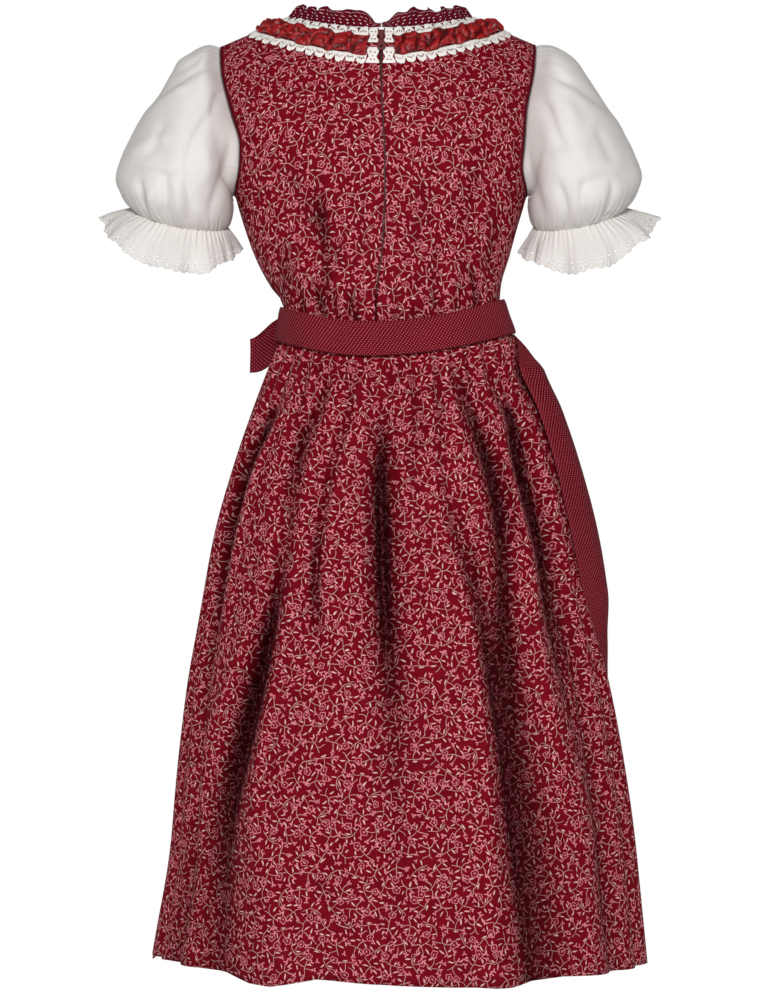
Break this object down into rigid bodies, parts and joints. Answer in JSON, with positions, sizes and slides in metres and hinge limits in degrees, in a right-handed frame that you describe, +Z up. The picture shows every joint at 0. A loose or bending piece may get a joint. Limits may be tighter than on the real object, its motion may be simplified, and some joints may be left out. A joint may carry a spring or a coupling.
{
  "type": "dirndl",
  "caption": "Girl's dirndl, filled out as when worn: zipped bodice with puff sleeves and ruched neck trim, gathered midi skirt, dotted apron tied with a bow at the front.",
  "frame": {"origin": "midway between the wearer's shoulders, at the height where they carry the dress", "axes": "+Z up, the back faces +Y, the front faces -Y, +X is the wearer's left"},
  "size_m": [0.5625, 0.3705, 0.9558],
  "materials": {
    "print": "matt printed cotton, small trailing vines on burgundy",
    "dots": "matt cotton, pin dots on burgundy",
    "binding": "dark bound edge",
    "satin": "glossy red satin",
    "lace": "white cotton lace",
    "cotton": "fine white cotton",
    "tape": "dark woven tape",
    "zip": "dark red lacquered metal"
  },
  "bodies": {
    "dress": {"back_bodice_left": "print", "back_bodice_right": "print", "front_bodice": "print", "upper_lace": "lace", "satin_ruche": "satin", "lower_lace": "lace", "lace_end_upper_left": "lace", "lace_end_lower_left": "lace", "lace_end_upper_right": "lace", "lace_end_lower_right": "lace", "collar_frill": "dots", "zip_tape": "tape", "zip_slider": "zip", "armhole_binding_left": "binding", "armhole_binding_right": "binding", "sleeve_left": "cotton", "sleeve_right": "cotton", "sleeve_ruffle_left": "cotton", "sleeve_ruffle_right": "cotton", "skirt_back": "print", "skirt_front": "print", "apron_panel": "dots", "apron_band": "dots", "bow_knot": "dots", "bow_loop_left": "dots", "bow_loop_front": "dots", "bow_tail_left": "dots", "bow_tail_front": "dots"},
    "pull_tab": {"zip_pull_tab": "zip"}
  },
  "joints": [
    {"name": "pull_tab_hinge", "type": "hinge", "parent": "dress", "child": "pull_tab", "pos_m": [-0.00145, 0.06759, -0.00951], "axis": [1, 0, 0], "range_deg": [0, 140]}
  ]
}
